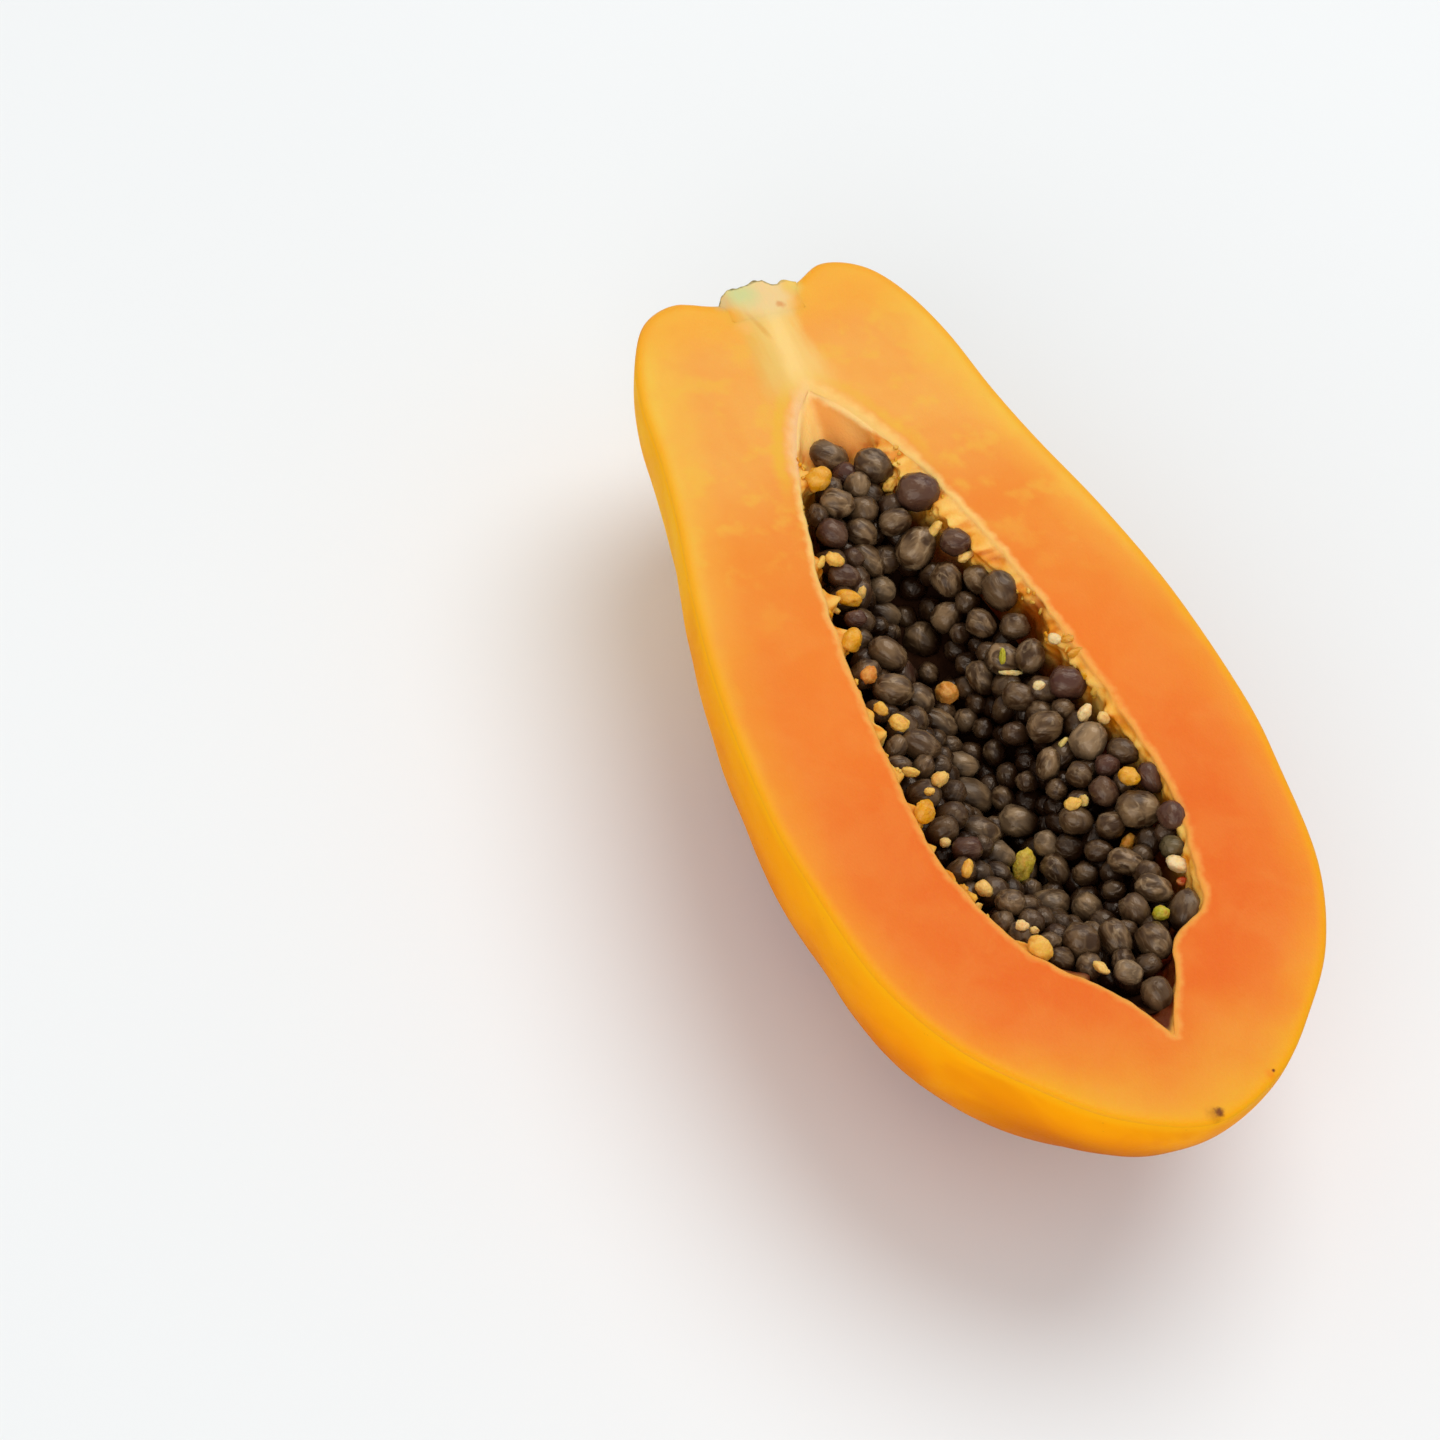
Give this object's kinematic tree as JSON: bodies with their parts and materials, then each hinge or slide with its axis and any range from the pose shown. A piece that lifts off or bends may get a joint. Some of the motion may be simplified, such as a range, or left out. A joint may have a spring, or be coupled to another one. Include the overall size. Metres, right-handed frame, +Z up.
{
  "type": "papaya half",
  "caption": "Ripe papaya half, cut lengthwise and lying cut face up: orange flesh in a yellow-orange skin, a cavity lined with dark seeds, and the cut stub of the stem.",
  "frame": {"origin": "on the table, under the middle of the half's bounding box", "axes": "+Z up, out of the cut face; +Y along the fruit's axis towards the stem; +X to the right of the cut face seen from above"},
  "size_m": [0.0884, 0.1854, 0.0474],
  "materials": {
    "flesh": "moist orange flesh under a satin yellow-orange skin",
    "seeds": "wet, softly wrinkled jelly coats over dark seeds",
    "stem": "dull, pale green, woody cut end"
  },
  "bodies": {
    "root": {"flesh": "flesh", "seed_bed": "seeds", "stem_stub": "stem"}
  },
  "joints": []
}
